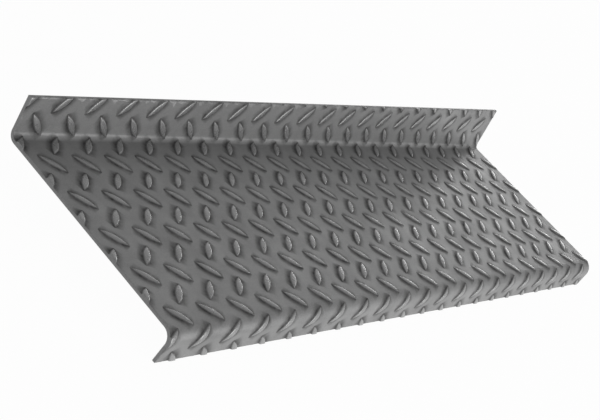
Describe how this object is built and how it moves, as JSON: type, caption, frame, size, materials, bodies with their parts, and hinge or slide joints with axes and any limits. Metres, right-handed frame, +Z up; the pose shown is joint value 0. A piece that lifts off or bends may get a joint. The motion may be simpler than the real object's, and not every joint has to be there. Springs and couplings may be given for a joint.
{
  "type": "metal stair tread",
  "caption": "Stair tread folded from one sheet of raised-lug steel floor plate, with an upstand along the back and a nosing turned down along the front.",
  "frame": {"origin": "centre of the flat underside of the tread: mid-length, and midway between the foot of the upstand and the front of the nosing", "axes": "+X along the tread, +Y to the back where the upstand is, +Z up; the walking surface is parallel to XY"},
  "size_m": [0.9144, 0.2431, 0.0877],
  "materials": {
    "tread_plate": "dull mill finish, lightly worn on the lugs"
  },
  "bodies": {
    "root": {"tread_plate": "tread_plate"}
  },
  "joints": []
}
